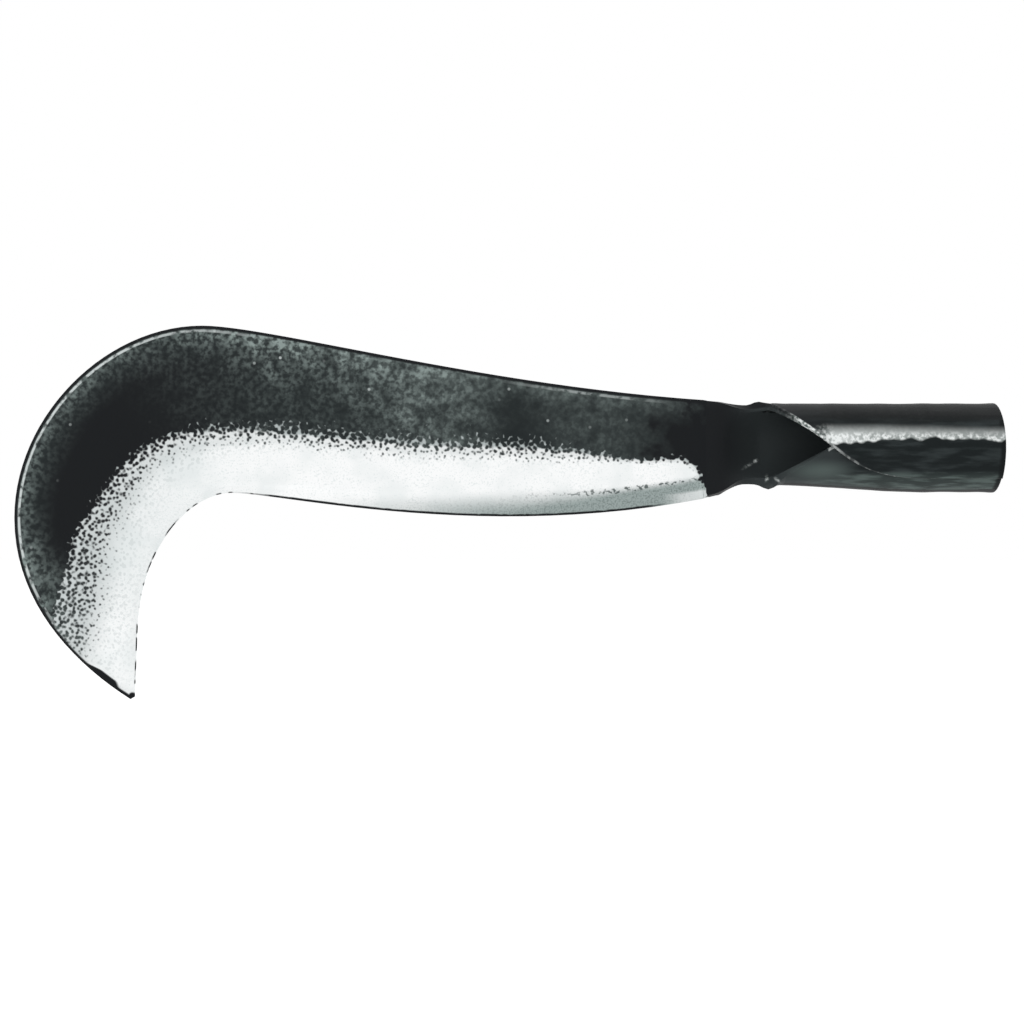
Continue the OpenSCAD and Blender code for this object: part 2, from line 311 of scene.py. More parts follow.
class NearLine:
    """Finds how far points lie from a line of points."""

    def __init__(self, points: Sequence[Vector]) -> None:
        """Keeps the points in a search tree.

        Args:
            points: Points in order along the line.
        """
        self.points = list(points)
        self.tree = KDTree(len(self.points))
        for i, p in enumerate(self.points):
            self.tree.insert(p, i)
        self.tree.balance()

    @cached_property
    def lengths(self) -> list[float]:
        """Length along the line at each of its points.

        Returns:
            One length per point.
        """
        lengths = [0.0]
        for a, b in zip(self.points, self.points[1:]):
            lengths.append(lengths[-1] + (b - a).length)
        return lengths

    def distance(self, p: Vector) -> float:
        """Distance of a point from the line."""
        return self.tree.find(p)[2]

    def along(self, p: Vector) -> float:
        """Length along the line to the point nearest to p."""
        return self.lengths[self.tree.find(p)[1]]

    def side(self, p: Vector) -> float:
        """Signed distance of a point from the line.

        Args:
            p: Point in the plane of the blade.

        Returns:
            The distance, above 0 on the side of the cutting edge.
        """
        _, i, d = self.tree.find(p)
        before = self.points[max(0, i - 1)]
        after = self.points[min(len(self.points) - 1, i + 1)]
        way = after - before
        off = p - self.points[i]
        return d if way.x * off.z - way.z * off.x > 0 else -d


@dataclass(frozen=True)
class Surface:
    """Node tree of a finish, with the places and marks that its patterns go by.

    Patterns go by place, run and flat, which are in metres. Ramps go by mm,
    which is the place as X, Y and Z in millimetres, and by the marks.
    """

    tree: Tree
    place: Socket
    run: Socket
    flat: Socket
    mm: tuple[Socket, Socket, Socket]
    marks: dict[Mark, Socket]

    @classmethod
    def of(cls, tree: Tree, marks: Sequence[Mark]) -> Surface:
        """Adds the nodes that give the places and marks.

        Args:
            tree: Node tree to add to.
            marks: Marks that the piece keeps.

        Returns:
            The surface.
        """
        add = partial(add_node, tree)
        place = add("TexCoord", out="Object")
        x, _, z = add("SeparateXYZ", None, [place]).node.outputs
        large = add("VectorMath", MULTIPLY, [place, (1 / MM, 1 / MM, 1 / MM)])
        return cls(
            tree,
            place,
            x,
            add("CombineXYZ", None, [x, z]),
            tuple(add("SeparateXYZ", None, [large]).node.outputs),
            {m: add("Attribute", {"attribute_name": m.value}, out="Fac") for m in marks},
        )


@dataclass(frozen=True)
class Patch:
    """Soft round or drawn-out patch in the plane of the blade, turned by degrees."""

    x: float
    z: float
    radius: float
    share: float = 1.0
    core: float = 0.0
    stretch: float = 1.0
    turn: float = 0.0

    def mask(self, on: Surface) -> Socket:
        """Share of the patch at each place.

        Args:
            on: Surface to draw on.

        Returns:
            The patch's share at its middle, falling to 0 at its rim.
        """
        add = partial(add_node, on.tree)
        centred = add(
            "Mapping",
            {"vector_type": "TEXTURE"},
            {
                "Vector": on.flat,
                "Location": (self.x * MM, self.z * MM, 0.0),
                "Rotation": (0.0, 0.0, math.radians(self.turn)),
                "Scale": (self.stretch, 1.0, 1.0),
            },
        )
        away = add("VectorMath", LENGTH, [centred], "Value")
        reach = self.radius * MM
        return add("MapRange", SMOOTH, [away, self.core * reach, reach, self.share, 0.0])


@dataclass(frozen=True)
class ScaleBorder:
    """Border of the scale, which grinding breaks up into teeth and dots.

    Soft, spread, bend, first and most hold a value for the belly of the blade
    and one for its beak, where the border is drawn out. Near the heel it is crisp.
    """

    pit_mm: float = 1.6
    pit_turn: float = 40.0
    pit_chance: float = 0.78
    pits: Ramp = (0.0, 0.6, 0.32, -0.26)
    worm_mm: float = 1.5
    worms: Ramp = (0.0, 1.0, -0.4, 0.4)
    drift_mm: float = 9.0
    drift: Ramp = (0.3, 0.7, -1.5, -0.5)
    heel: Ramp = (0.0, 14.0, -0.4, 0.0)
    crisp: Ramp = (25.0, 65.0, 0.3, 1.0)
    beak: Span = (150.0, 238.0)
    soft: Span = (3.4, 1.2)
    spread: Span = (3.2, 18.0)
    bend: Span = (1.0, 3.0)
    first: Span = (0.05, -0.05)
    most: Span = (0.25, 0.7)
    outer: Ramp = (-1.0, 0.0, -0.4, -0.05)
    last: float = 0.5
    full: Ramp = (0.0, 0.3, 1.0, 0.97)
    broken: Span = (-0.26, 0.22)
    faint: Ramp = (0.5, 2.2, 0.5, 0.0)
    rings: Span = (0.0, 0.12)
    veil: Span = (0.5, 1.25)
    shaded: Ramp = (-0.35, 0.15, 0.95, 0.0)

    def pattern(self, on: Surface) -> Socket:
        """Pattern of the pits.

        Args:
            on: Surface to draw on.

        Returns:
            A number that is highest in the middle of a pit.
        """
        add = partial(add_node, on.tree)
        turn = (0.0, 0.0, math.radians(self.pit_turn))
        turned = add("Mapping", None, {"Vector": on.flat, "Rotation": turn})
        pits = add(
            "TexVoronoi",
            FLAT_CELLS,
            {"Vector": turned, "Scale": per_mm(self.pit_mm), "Randomness": self.pit_chance},
        )
        pits = add("MapRange", FREE, [pits, *self.pits])
        worms = add(
            "TexNoise",
            FLAT_NOISE,
            {"Vector": on.flat, "Scale": per_mm(self.worm_mm), "Detail": 0.0},
        )
        worms = add("MapRange", FREE, [worms, *self.worms])
        return add("Math", ADD, [pits, worms])

    def depth(self, on: Surface) -> Socket:
        """Distance into the ground metal, from a border that wanders a little.

        Args:
            on: Surface to draw on.

        Returns:
            Millimetres, below 0 on the scale.
        """
        add = partial(add_node, on.tree)
        drift = add(
            "TexNoise",
            FLAT_NOISE,
            {"Vector": on.flat, "Scale": per_mm(self.drift_mm), "Detail": 1.0},
        )
        drift = add("MapRange", None, [drift, *self.drift])
        heel = add("MapRange", SMOOTH, [on.marks[Mark.ALONG], *self.heel])
        depth = add("Math", ADD, [on.marks[Mark.GROUND], drift])
        return add("Math", ADD, [depth, heel])

    def shares(self, on: Surface) -> tuple[Socket, Socket]:
        """Share of scale, and of the grey that is left between the pits and past them.

        Args:
            on: Surface to draw on.

        Returns:
            Scale, as 1 on scale and 0 on ground metal, and the grey.
        """
        add = partial(add_node, on.tree)
        pits = self.pattern(on)
        depth = self.depth(on)
        crisp = add("MapRange", SMOOTH, [on.marks[Mark.ALONG], *self.crisp])
        beak = add("MapRange", SMOOTH, [on.marks[Mark.ALONG], *self.beak, *RISE])
        soft, spread, bend, first, most = (
            add("MapRange", None, [beak, *RISE, *pair])
            for pair in (self.soft, self.spread, self.bend, self.first, self.most)
        )
        soft = add("Math", MULTIPLY, [soft, crisp])
        outer = add("Math", DIVIDE, [depth, soft])
        outer = add("MapRange", FREE, [outer, *self.outer])
        spread = add("Math", MULTIPLY, [spread, crisp])
        depth = add("Math", DIVIDE, [depth, spread])
        inner = add("Math", MAXIMUM, [depth, 0.0])
        inner = add("Math", POWER, [inner, bend])
        inner = add("MapRange", FREE, [inner, *RISE, first, self.last])
        level = add("Math", MINIMUM, [outer, inner])
        above = add("Math", SUBTRACT, [pits, level])
        full = add("MapRange", SMOOTH, [depth, *self.full])
        scale = add("MapRange", SMOOTH, [above, *self.broken, 0.0, full])
        rings = add("MapRange", SMOOTH, [pits, *self.rings, *RISE])
        grey = add("MapRange", SMOOTH, [depth, *self.faint])
        grey = add("Math", MULTIPLY, [grey, rings])
        veil = add("MapRange", SMOOTH, [depth, *self.veil, most, 0.0])
        shaded = add("MapRange", SMOOTH, [depth, *self.shaded])
        for more in (veil, shaded):
            grey = add("Math", MAXIMUM, [grey, more])
        return scale, grey


@dataclass(frozen=True)
class ForgeScale:
    """Colours of the forge scale: near black, with a grey-green bloom and lone specks."""

    soot: str = SOOT
    dark: str = "#24292a"
    light: str = "#8e9b98"
    bright: str = "#c9d0cf"
    fleck_mm: float = 1.8
    fleck: Ramp = (0.36, 0.67, 0.15, 1.7)
    calm: Ramp = (-270.0, -155.0, 0.0, 0.62)
    calm_fleck: float = 0.75
    cloud_mm: float = 5.0
    cloud: Ramp = (0.33, 0.67, 0.25, 1.05)
    rim_bloom: Ramp = (1.5, 9.0, 0.4, 0.1)
    blooms: tuple[Patch, ...] = (
        Patch(-254.0, 42.0, 26.0, 0.6),
        Patch(-228.0, 32.0, 22.0, 0.4),
        Patch(-201.0, 18.0, 32.0, 0.55),
        Patch(-168.0, 4.0, 22.0, -0.1),
        Patch(-140.0, 14.0, 40.0, 0.12),
        Patch(-342.0, -44.0, 20.0, 0.3),
        Patch(-288.0, 32.0, 30.0, 0.12),
    )
    inner: Span = (5.0, 16.0)
    turn: Span = (158.0, 187.0)
    nose: Span = (212.0, 240.0)
    wander: Ramp = (0.3, 0.7, -10.0, 10.0)
    neck: Span = (-132.0, -112.0)
    neck_low: Ramp = (3.0, 11.0, 0.35, 1.0)
    weld: Span = (-120.0, -103.0)
    speck_mm: float = 11.0
    speck: Ramp = (0.025, 0.065, 0.9, 0.0)
    chosen: Span = (0.62, 0.95)
    apart: Span = (-9.0, -6.0)

    def colour(self, on: Surface) -> Socket:
        """Colour of the scale.

        Args:
            on: Surface to draw on.

        Returns:
            The colour.
        """
        add = partial(add_node, on.tree)
        fleck, cloud = (
            add("TexNoise", None, {"Vector": on.place, "Scale": per_mm(size), "Detail": detail})
            for size, detail in ((self.fleck_mm, 2.0), (self.cloud_mm, 3.0))
        )
        black = self.black_bands(on, cloud)
        bloom = add("MapRange", SMOOTH, [on.marks[Mark.SPINE], *self.rim_bloom])
        for patch in self.blooms:
            bloom = add("Math", ADD, [bloom, patch.mask(on)])
        fleck = add("MapRange", SMOOTH, [fleck, *self.fleck])
        calm = add("MapRange", SMOOTH, [on.mm[0], *self.calm])
        fleck = add("MapRange", None, [calm, *RISE, fleck, self.calm_fleck])
        cloud = add("MapRange", None, [cloud, *self.cloud])
        for pattern in (fleck, cloud):
            bloom = add("Math", MULTIPLY, [bloom, pattern])
        colour = linear(self.dark)
        coats = (
            (bloom, self.light),
            (self.lone_specks(on), self.bright),
            (black, self.soot),
        )
        for share, coat in coats:
            colour = add("Mix", COLOURS, {FACTOR: share, BASE: colour, COAT: linear(coat)}, MIXED)
        return colour

    def black_bands(self, on: Surface, cloud: Socket) -> Socket:
        """Share of smooth black scale, inside the hook and on the neck.

        Args:
            on: Surface to draw on.
            cloud: Pattern that makes the border of the neck wander.

        Returns:
            1 on black scale and 0 elsewhere.
        """
        add = partial(add_node, on.tree)
        black = add("MapRange", SMOOTH, [on.marks[Mark.SPINE], *self.inner, *RISE])
        turn = add("MapRange", SMOOTH, [on.marks[Mark.ALONG], *self.turn, *RISE])
        nose = add("MapRange", SMOOTH, [on.marks[Mark.ALONG], *self.nose, *FALL])
        for limit in (turn, nose):
            black = add("Math", MULTIPLY, [black, limit])
        wander = add("MapRange", None, [cloud, *self.wander])
        x = add("Math", ADD, [on.mm[0], wander])
        neck = add("MapRange", SMOOTH, [x, *self.neck, *RISE])
        low = add("MapRange", SMOOTH, [on.marks[Mark.SPINE], *self.neck_low])
        weld = add("MapRange", SMOOTH, [x, *self.weld, *RISE])
        low = add("Math", MAXIMUM, [low, weld])
        neck = add("Math", MULTIPLY, [neck, low])
        return add("Math", MAXIMUM, [black, neck])

    def lone_specks(self, on: Surface) -> Socket:
        """Share of the few bright specks that lie apart on the scale, off its border.

        Args:
            on: Surface to draw on.

        Returns:
            1 on specks and 0 elsewhere.
        """
        add = partial(add_node, on.tree)
        cells = add(
            "TexVoronoi", FLAT_CELLS, {"Vector": on.flat, "Scale": per_mm(self.speck_mm)}
        ).node.outputs
        specks = add("MapRange", SMOOTH, [cells["Distance"], *self.speck])
        chosen = add("MapRange", None, [cells["Color"], *self.chosen, *RISE])
        apart = add("MapRange", SMOOTH, [on.marks[Mark.GROUND], *self.apart, *FALL])
        for limit in (chosen, apart):
            specks = add("Math", MULTIPLY, [specks, limit])
        return specks


@dataclass(frozen=True)
class GroundMetal:
    """Colours of the ground metal: pale, with a fine grain and a grey honed strip."""

    bright: str = "#eeefef"
    dull: str = "#dadfdf"
    ghost: str = "#a9b1b1"
    hone: str = "#939e9c"
    pit: str = "#4b5453"
    haze_mm: float = 14.0
    haze: Ramp = (0.4, 0.7, 0.0, 0.6)
    # Grit leaves marks of about 0.1 mm. They are too fine for the render, so
    # the grain is drawn coarser.
    grain_mm: float = 0.6
    grain: Span = (0.5, 0.72)
    hook: Ramp = (150.0, 200.0, 0.0, 0.5)
    tip: Ramp = (215.0, 245.0, 1.0, 0.2)
    strip_width: Ramp = (50.0, 165.0, 9.0, 3.0)
    strip_change: Span = (20.0, 75.0)
    strip_start: Span = (0.65, 0.1)
    strip_end: Span = (1.0, 1.2)
    strip_fade: Span = (60.0, 150.0)
    strip_pits: Ramp = (0.4, 0.7, 0.0, 0.5)
    heel: Ramp = (4.0, 16.0, 0.4, 1.0)
    heel_high: Span = (0.2, 0.45)
    wander_mm: float = 2.4
    wander: Ramp = (0.3, 0.7, 0.74, 0.9)
    line: Span = (0.02, 0.09)
    speck_mm: float = 1.1
    specks: Span = (0.46, 0.58)
    near_heel: Ramp = (30.0, 80.0, 0.9, 0.0)

    def colour(self, on: Surface, grey: Socket) -> Socket:
        """Colour of the ground metal.

        Args:
            on: Surface to draw on.
            grey: Share of the grey near the border of the scale.

        Returns:
            The colour.
        """
        add = partial(add_node, on.tree)
        along = on.marks[Mark.ALONG]
        haze, grain = (
            add("TexNoise", None, {"Vector": on.place, "Scale": per_mm(size), "Detail": detail})
            for size, detail in ((self.haze_mm, 3.0), (self.grain_mm, 2.0))
        )
        haze = add("MapRange", SMOOTH, [haze, *self.haze])
        grit = add("MapRange", SMOOTH, [grain, *self.grain, *RISE])
        dull = add("Math", MAXIMUM, [haze, grit])
        hook = add("MapRange", SMOOTH, [along, *self.hook])
        tip = add("MapRange", SMOOTH, [along, *self.tip])
        hook = add("Math", MULTIPLY, [hook, tip])
        dull = add("Math", ADD, [dull, hook])
        width = add("MapRange", SMOOTH, [along, *self.strip_width])
        share = add("Math", DIVIDE, [on.marks[Mark.EDGE], width])
        pits = add("MapRange", SMOOTH, [grain, *self.strip_pits])
        hone = add(
            "Mix",
            COLOURS,
            {FACTOR: pits, BASE: linear(self.hone), COAT: linear(self.pit)},
            MIXED,
        )
        colour = linear(self.bright)
        coats = (
            (dull, linear(self.dull)),
            (grey, linear(self.ghost)),
            (self.strip(on, share), hone),
            (self.hone_border(on, share), linear(self.pit)),
        )
        for factor, coat in coats:
            colour = add("Mix", COLOURS, {FACTOR: factor, BASE: colour, COAT: coat}, MIXED)
        return colour

    def strip(self, on: Surface, share: Socket) -> Socket:
        """Share of the honed strip, which is sharp near the heel and fades towards the hook.

        Args:
            on: Surface to draw on.
            share: Distance from the edge, as a share of the strip's width.

        Returns:
            1 on the strip and 0 elsewhere.
        """
        add = partial(add_node, on.tree)
        along = on.marks[Mark.ALONG]
        start = add("MapRange", SMOOTH, [along, *self.strip_change, *self.strip_start])
        end = add("MapRange", SMOOTH, [along, *self.strip_change, *self.strip_end])
        strip = add("MapRange", SMOOTH, [share, start, end, *FALL])
        fade = add("MapRange", SMOOTH, [along, *self.strip_fade, *FALL])
        heel = add("MapRange", SMOOTH, [along, *self.heel])
        high = add("MapRange", SMOOTH, [share, *self.heel_high, *RISE])
        heel = add("Math", MAXIMUM, [heel, high])
        for limit in (fade, heel):
            strip = add("Math", MULTIPLY, [strip, limit])
        return strip

    def hone_border(self, on: Surface, share: Socket) -> Socket:
        """Share of dark specks along the border of the honed strip, near the heel.

        Args:
            on: Surface to draw on.
            share: Distance from the edge, as a share of the strip's width.

        Returns:
            1 on specks and 0 elsewhere.
        """
        add = partial(add_node, on.tree)
        wander, specks = (
            add("TexNoise", None, {"Vector": on.place, "Scale": per_mm(size), "Detail": 1.0})
            for size in (self.wander_mm, self.speck_mm)
        )
        wander = add("MapRange", None, [wander, *self.wander])
        off = add("Math", SUBTRACT, [share, wander])
        off = add("Math", ABSOLUTE, [off])
        border = add("MapRange", SMOOTH, [off, *self.line, *FALL])
        specks = add("MapRange", SMOOTH, [specks, *self.specks, *RISE])
        near = add("MapRange", SMOOTH, [on.marks[Mark.ALONG], *self.near_heel])
        for limit in (specks, near):
            border = add("Math", MULTIPLY, [border, limit])
        return border


@dataclass(frozen=True)
class RimLines:
    """Ridge of the spine, rubbed bare and lightened as a painted highlight, and painted dark
    outlines as shade on the rims of the blade.
    """

    # The ridge is rubbed bare, and lightened further as a painted highlight.
    ridge_at: float = 1.9
    ridge: Span = (0.25, 0.65)
    hook_start: Span = (160.0, 185.0)
    hook_end: Span = (222.0, 240.0)
    neck: Ramp = (40.0, 80.0, 0.4, 0.0)
    weld: Span = (3.0, 26.0)
    break_mm: float = 3.0
    breaks: Span = (0.36, 0.54)
    # Painted dark outlines as shade: on the rim of the spine, thicker round the beak, along the
    # cutting edge and at the tip.
    thick: Ramp = (248.0, 251.0, 0.0, 1.3)
    thin: Span = (254.0, 257.0)
    rim: Span = (0.9, 1.5)
    belly: Ramp = (145.0, 170.0, 0.45, 0.0)
    edge: Span = (0.25, 0.6)
    dash_mm: float = 4.0
    dashes: Span = (0.46, 0.56)
    whole: Span = (150.0, 175.0)
    heel: Span = (11.0, 22.0)
    tip: Patch = Patch(-308.3, -89.2, 1.8, core=0.6)

    def ridge_wear_and_highlight(self, on: Surface) -> Socket:
        """Share of bare metal and painted highlight on the ridge of the spine's chamfer, round
        hook and neck.

        Args:
            on: Surface to draw on.

        Returns:
            1 on bare metal and painted highlight, and 0 elsewhere.
        """
        add = partial(add_node, on.tree)
        along = on.marks[Mark.ALONG]
        off = add("Math", SUBTRACT, [on.marks[Mark.SPINE], self.ridge_at])
        off = add("Math", ABSOLUTE, [off])
        wear_and_highlight = add("MapRange", SMOOTH, [off, *self.ridge, *FALL])
        start = add("MapRange", SMOOTH, [along, *self.hook_start, *RISE])
        end = add("MapRange", SMOOTH, [along, *self.hook_end, *FALL])
        hook = add("Math", MULTIPLY, [start, end])
        neck = add("MapRange", SMOOTH, [along, *self.neck])
        weld = add("MapRange", SMOOTH, [along, *self.weld, *RISE])
        neck = add("Math", MULTIPLY, [neck, weld])
        bare = add("Math", MAXIMUM, [hook, neck])
        breaks = add(
            "TexNoise",
            None,
            {"Vector": on.place, "Scale": per_mm(self.break_mm), "Detail": 4.0},
        )
        breaks = add("MapRange", SMOOTH, [breaks, *self.breaks, *RISE])
        for limit in (bare, breaks):
            wear_and_highlight = add("Math", MULTIPLY, [wear_and_highlight, limit])
        return wear_and_highlight

    def black(self, on: Surface) -> Socket:
        """Share of painted dark outline, standing for shade on the rim of the spine, on the
        cutting edge and at the tip.

        Args:
            on: Surface to draw on.

        Returns:
            1 on the painted dark lines and 0 elsewhere.
        """
        add = partial(add_node, on.tree)
        along = on.marks[Mark.ALONG]
        thick = add("MapRange", SMOOTH, [along, *self.thick])
        thin = add("MapRange", SMOOTH, [along, *self.thin, *FALL])
        thick = add("Math", MULTIPLY, [thick, thin])
        rim = add("Math", SUBTRACT, [on.marks[Mark.SPINE], thick])
        rim = add("MapRange", SMOOTH, [rim, *self.rim, *FALL])
        belly = add("MapRange", SMOOTH, [along, *self.belly])
        edge = add("Math", SUBTRACT, [on.marks[Mark.EDGE], belly])
        edge = add("MapRange", SMOOTH, [edge, *self.edge, *FALL])
        dashes = add(
            "TexNoise",
            None,
            {"Vector": on.place, "Scale": per_mm(self.dash_mm), "Detail": 1.0},
        )
        dashes = add("MapRange", SMOOTH, [dashes, *self.dashes, *RISE])
        whole = add("MapRange", SMOOTH, [along, *self.whole, *FALL])
        dashes = add("Math", MAXIMUM, [dashes, whole])
        heel = add("MapRange", SMOOTH, [along, *self.heel, *RISE])
        for limit in (dashes, heel):
            edge = add("Math", MULTIPLY, [edge, limit])
        black = add("Math", MAXIMUM, [rim, edge])
        return add("Math", MAXIMUM, [black, self.tip.mask(on)])


@dataclass(frozen=True)
class GroundForging:
    """Wrought iron or carbon steel, forged and then ground along the bevel.

    Forging leaves matt scale, which looks near black with a mottled bloom.
    Grinding cuts it down to bright metal, and leaves dots of scale where it
    fades out. The plate and the edge share the finish, as the bevel crosses both.
    The spine's ridge, rubbed bare, is lightened further as a painted highlight,
    and painted dark lines stand for shade on the rims, the edge and the tip.
    """

    name: str
    soot: str = SOOT
    # Colour of the spine's ridge: bare metal, lightened as a painted highlight.
    wear_and_highlight: str = "#ccd3d2"
    border: ScaleBorder = ScaleBorder()
    scale: ForgeScale = ForgeScale()
    metal: GroundMetal = GroundMetal()
    rims: RimLines = RimLines()
    beaten_mm: float = 1.6
    beaten_depth: float = 0.15
    beaten_share: float = 0.35
    rough: Span = (0.3, 0.6)
    specular: float = 0.05

    def material(self) -> bpy.types.Material:
        """Builds the node material.

        Returns:
            The material.
        """
        material, tree = new_tree(self.name)
        add = partial(add_node, tree)
        on = Surface.of(tree, (Mark.GROUND, Mark.EDGE, Mark.SPINE, Mark.ALONG))
        scale, grey = self.border.shares(on)
        black = self.rims.black(on)
        dark = self.scale.colour(on)
        # The spine's ridge: bare metal, lightened further as a painted highlight.
        dark = add(
            "Mix",
            COLOURS,
            {FACTOR: self.rims.ridge_wear_and_highlight(on), BASE: dark, COAT: linear(self.wear_and_highlight)},
            MIXED,
        )
        colour = self.metal.colour(on, grey)
        # Scale over the ground metal, then the painted dark outlines as shade.
        for share, coat in ((scale, dark), (black, linear(self.soot))):
            colour = add("Mix", COLOURS, {FACTOR: share, BASE: colour, COAT: coat}, MIXED)
        covered = add("Math", MAXIMUM, [scale, black])
        beaten = add(
            "TexNoise",
            None,
            {"Vector": on.place, "Scale": per_mm(self.beaten_mm), "Detail": 5.0},
        )
        lift = add("Math", MULTIPLY, [beaten, scale])
        bump = add(
            "Bump",
            None,
            {
                "Height": lift,
                "Strength": self.beaten_share,
                "Distance": self.beaten_depth * MM,
            },
        )
        shader = add(
            "BsdfPrincipled",
            None,
            {
                "Base Color": colour,
                "Metallic": add("Math", SUBTRACT, [1.0, covered]),
                "Roughness": add("MapRange", None, [covered, *RISE, *self.rough]),
                "Specular IOR Level": self.specular,
                "Normal": bump,
            },
        )
        add("OutputMaterial", None, [shader])
        return material


@dataclass(frozen=True)
class RolledScale:
    """Wrought iron, rolled hot from plate.

    Rolling leaves a tight, smooth skin of scale, which looks black with faint
    drawn lines. Hands and hafts have rubbed it to pale metal in a streak along
    the tube and on the lip of the upper wing, which a painted highlight lightens
    further. A painted reflection greys the tube low down and the lower wing,
    painted shade darkens its top, its mouth and the faces that look down, and the
    bore and trough are painted lighter to lift their shade.
    """

    name: str
    soot: str = SOOT
    # Painted lighter than the skin, to lift the shade in the bore and the trough.
    bore: str = "#34393a"
    skin: str = "#1b2021"
    skin_light: str = "#303637"
    shade: str = "#121516"
    # Grey of a painted reflection, low on the tube and on the lower wing.
    grey: str = "#596562"
    # Rubbed metal lightened as a painted highlight, from its darkest to its palest.
    rub_and_highlight_dark: str = "#5d6865"
    rub_and_highlight_light: str = "#f0f4f3"
    rough: float = 0.45
    specular: float = 0.06
    grain_share: float = 0.25
    grain_depth: float = 0.15

    tube: Span = (-80.0, -55.0)
    trough: Span = (-98.0, -80.0)
    wall: Span = (14.2, 15.2)
    drawn_mm: float = 2.2
    drawn: float = 0.2
    drawn_lines: Span = (0.4, 0.7)
    # Painted reflection: low on the tube, broken by the drawn lines, and on the lower wing.
    low: Ramp = (-8.0, -11.0, 0.0, 0.9)
    reflection_lines: Span = (0.3, 1.1)
    wing: Patch = Patch(-63.0, -8.5, 5.0, 0.75, stretch=3.0)
    wing_front: Span = (-6.0, -2.0)
    # Painted shade along the top of the tube, at the mouth and on faces that look down.
    top: Span = (7.0, 11.0)
    mouth: Ramp = (-2.4, -1.0, 0.0, 0.9)
    below: Ramp = (0.925, 0.96, 0.0, 0.95)

    mottle_mm: float = 1.3
    mottle: Span = (0.38, 0.66)
    past_throat: Span = (-64.0, -58.0)
    least_rub_and_highlight: float = 0.3
    throat_rub_and_highlight: Ramp = (-60.0, -45.0, 0.4, 0.0)
    plain: Ramp = (3.2, 5.6, 0.0, 0.85)
    plain_rub_and_highlight: float = 0.5

    # The streak along the front of the tube: rubbed metal and a painted highlight.
    scallop_mm: float = 7.0
    scallop: Ramp = (0.3, 0.7, -0.9, 0.9)
    streak_rise: Ramp = (-52.0, -40.0, 0.5, 1.7)
    streak_low: Span = (0.3, 1.3)
    streak_drop: Ramp = (-44.0, -8.0, 0.25, 1.25)
    streak_top: Span = (3.8, 8.8)
    streak_front: Span = (-10.0, -6.0)
    streak_start: Span = (-68.0, -60.0)

    # Lip of the upper wing and the lap: rubbed metal and a painted highlight.
    lip: Span = (0.2, 0.75)
    lip_start: Span = (-83.0, -77.0)
    lip_root: Ramp = (-75.5, -69.5, 0.06, 1.0)
    lip_point: Ramp = (-64.0, -60.0, 1.0, 0.5)
    lap_mm: float = 2.2
    lap_dots: Ramp = (0.47, 0.6, 0.1, 0.5)
    lap: Span = (-60.0, -54.0)
    lap_end: Span = (-40.0, -28.0)
    lap_depth: Ramp = (-62.0, -56.0, 0.0, -40.0)
    flecks: tuple[Patch, ...] = (
        Patch(-86.2, -6.0, 1.0, 0.3, stretch=3.8, turn=31.0),
        Patch(-83.2, -4.3, 1.0, 0.95, stretch=1.4, turn=31.0),
        Patch(-80.3, -10.8, 0.8, 0.85, stretch=2.8, turn=68.0),
        Patch(-77.8, -11.5, 0.8, 0.55, stretch=2.2, turn=-50.0),
    )

    def material(self) -> bpy.types.Material:
        """Builds the node material.

        Returns:
            The material.
        """
        material, tree = new_tree(self.name)
        add = partial(add_node, tree)
        on = Surface.of(tree, (Mark.LIP, Mark.FRONT, Mark.UNDER))
        mottle = add(
            "TexNoise",
            None,
            {"Vector": on.place, "Scale": per_mm(self.mottle_mm), "Detail": 4.0},
        )
        # Pale metal, rubbed and lightened as a painted highlight, on the streak and the lip;
        # bright flecks on the neck.
        wear_and_highlight = add("Math", MAXIMUM, [self.streak(on), self.lip_wear_and_highlight(on)])
        for fleck in self.flecks:
            spot = add("Math", MULTIPLY, [fleck.mask(on), on.marks[Mark.FRONT]])
            wear_and_highlight = add("Math", MAXIMUM, [wear_and_highlight, spot])
        colour = add(
            "Mix",
            COLOURS,
            {FACTOR: wear_and_highlight, BASE: self.skin_colour(on), COAT: self.rub_and_highlight_colour(on, mottle)},
            MIXED,
        )
        bump = add(
            "Bump",
            None,
            {
                "Height": mottle,
                "Strength": self.grain_share,
                "Distance": self.grain_depth * MM,
            },
        )
        shader = add(
            "BsdfPrincipled",
            None,
            {
                "Base Color": colour,
                "Roughness": self.rough,
                "Specular IOR Level": self.specular,
                "Normal": bump,
            },
        )
        add("OutputMaterial", None, [shader])
        return material

    def skin_colour(self, on: Surface) -> Socket:
        """Colour of the scale: sooty on the neck, drawn in lines on the tube, with a painted
        reflection low down, painted shade on top, at the mouth and underneath, and painted light
        in the bore.

        Args:
            on: Surface to draw on.

        Returns:
            The colour.
        """
        add = partial(add_node, on.tree)
        x, y, height = on.mm
        tube = add("MapRange", SMOOTH, [x, *self.tube, *RISE])
        drawn = add("VectorMath", MULTIPLY, [on.place, (self.drawn, 1.0, 1.0)])
        drawn = add(
            "TexNoise", None, {"Vector": drawn, "Scale": per_mm(self.drawn_mm), "Detail": 4.0}
        )
        drawn = add("MapRange", SMOOTH, [drawn, *self.drawn_lines, *RISE])
        skin = add(
            "Mix",
            COLOURS,
            {FACTOR: drawn, BASE: linear(self.skin), COAT: linear(self.skin_light)},
            MIXED,
        )
        # The bore and the trough are painted lighter, to lift their shade.
        ring = add("CombineXYZ", None, [0.0, y, height])
        ring = add("VectorMath", LENGTH, [ring], "Value")
        inside = add("MapRange", SMOOTH, [ring, *self.wall, *FALL])
        trough = add("MapRange", SMOOTH, [x, *self.trough, *RISE])
        inside = add("Math", MULTIPLY, [inside, trough])
